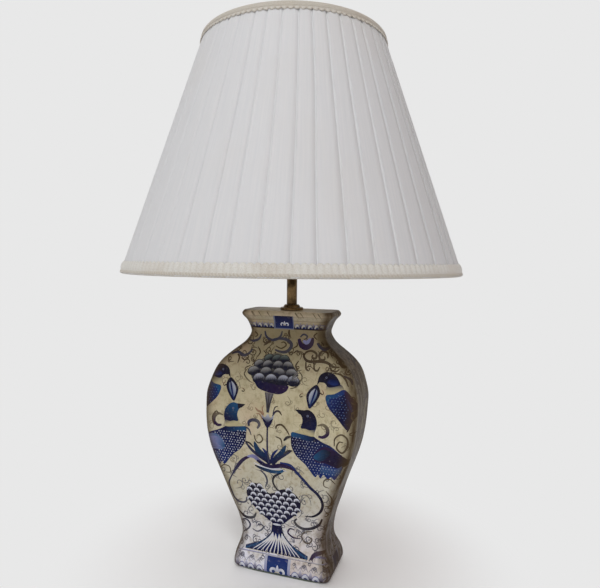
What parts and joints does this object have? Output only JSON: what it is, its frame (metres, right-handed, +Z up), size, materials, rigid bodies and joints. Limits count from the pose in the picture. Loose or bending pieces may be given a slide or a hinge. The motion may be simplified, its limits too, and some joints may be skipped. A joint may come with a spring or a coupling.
{
  "type": "ginger jar table lamp",
  "caption": "Table lamp with a flattened baluster jar of painted crackle-glazed ceramic, brass neck, harp and knife-pleated empire shade.",
  "frame": {"origin": "on the table, at the centre of the lamp's footprint and axis of its pipe", "axes": "+Z up along the lamp pipe; the jar's painted front faces -Y and its long side lies along X"},
  "size_m": [0.4057, 0.4058, 0.6586],
  "materials": {
    "felt": "short dense wool felt",
    "painted_glaze": "ivory crackle glaze with cobalt brushwork, glossy",
    "black_plastic": "moulded, fine grain",
    "zinc_steel": "zinc plated",
    "antique_brass": "dark antique patina, satin",
    "bright_brass": "lacquered, polished",
    "liner_board": "vulcanised fibre board",
    "moulded_insulator": "moulded phenolic",
    "thin_aluminium": "rolled thread, bright",
    "black_glass": "fused black glass",
    "solder": "dull solder",
    "bulb_glass": "inside frosted",
    "clear_glass": "clear",
    "filament_wire": "drawn tungsten and nickel wire",
    "coated_wire": "white lacquer",
    "lining_fabric": "smooth taffeta lining",
    "pleated_fabric": "off-white voile, knife pleated",
    "braid": "woven braid with picot edge"
  },
  "bodies": {
    "lamp_base": {"felt_pad": "felt", "vase_body": "painted_glaze", "cord_bushing": "black_plastic", "bottom_washer": "zinc_steel", "lock_washer": "zinc_steel", "bottom_nut": "zinc_steel", "lamp_pipe": "zinc_steel", "neck_flange": "antique_brass", "neck_tube": "antique_brass", "harp_saddle": "bright_brass", "socket_cap": "bright_brass", "cap_screw": "zinc_steel", "socket_shell": "bright_brass", "paper_liner": "liner_board", "holder_body": "moulded_insulator", "terminal_screws": "bright_brass", "screw_shell": "thin_aluminium", "centre_contact": "bright_brass"},
    "switch": {"knob_stem": "zinc_steel", "switch_knob": "black_plastic"},
    "bulb": {"bulb_cap": "thin_aluminium", "bulb_insulator": "black_glass", "bulb_contact": "solder", "bulb_glass": "bulb_glass", "filament_stem": "clear_glass", "filament": "filament_wire"},
    "harp": {"harp_bow": "bright_brass", "harp_stud": "bright_brass"},
    "left_sleeve": {"harp_sleeve_left": "bright_brass"},
    "right_sleeve": {"harp_sleeve_right": "bright_brass"},
    "shade": {"shade_bottom_ring": "coated_wire", "shade_top_ring": "coated_wire", "shade_ribs": "coated_wire", "spider_hub": "bright_brass", "spider_arms": "bright_brass", "shade_lining": "lining_fabric", "shade_cover": "pleated_fabric", "bottom_trim": "braid", "top_trim": "braid"},
    "finial": {"finial": "antique_brass"}
  },
  "joints": [
    {"name": "switch_turn", "type": "hinge", "parent": "lamp_base", "child": "switch", "pos_m": [0, -0.02, 0.3986], "axis": [0, -1, 0], "continuous": true},
    {"name": "bulb_unscrew", "type": "hinge", "parent": "lamp_base", "child": "bulb", "pos_m": [0, 0, 0.42], "axis": [0, 0, 1], "range_deg": [0, 1800]},
    {"name": "harp_lift", "type": "slide", "parent": "lamp_base", "child": "harp", "axis": [0, 0, 1], "range_m": [0, 0.04]},
    {"name": "left_sleeve_lift", "type": "slide", "parent": "harp", "child": "left_sleeve", "axis": [0, 0, 1], "range_m": [0, 0.012]},
    {"name": "right_sleeve_lift", "type": "slide", "parent": "harp", "child": "right_sleeve", "axis": [0, 0, 1], "range_m": [0, 0.012]},
    {"name": "shade_turn", "type": "hinge", "parent": "harp", "child": "shade", "pos_m": [0, 0, 0.6276], "axis": [0, 0, 1], "continuous": true},
    {"name": "finial_unscrew", "type": "hinge", "parent": "harp", "child": "finial", "pos_m": [0, 0, 0.64], "axis": [0, 0, 1], "continuous": true}
  ]
}
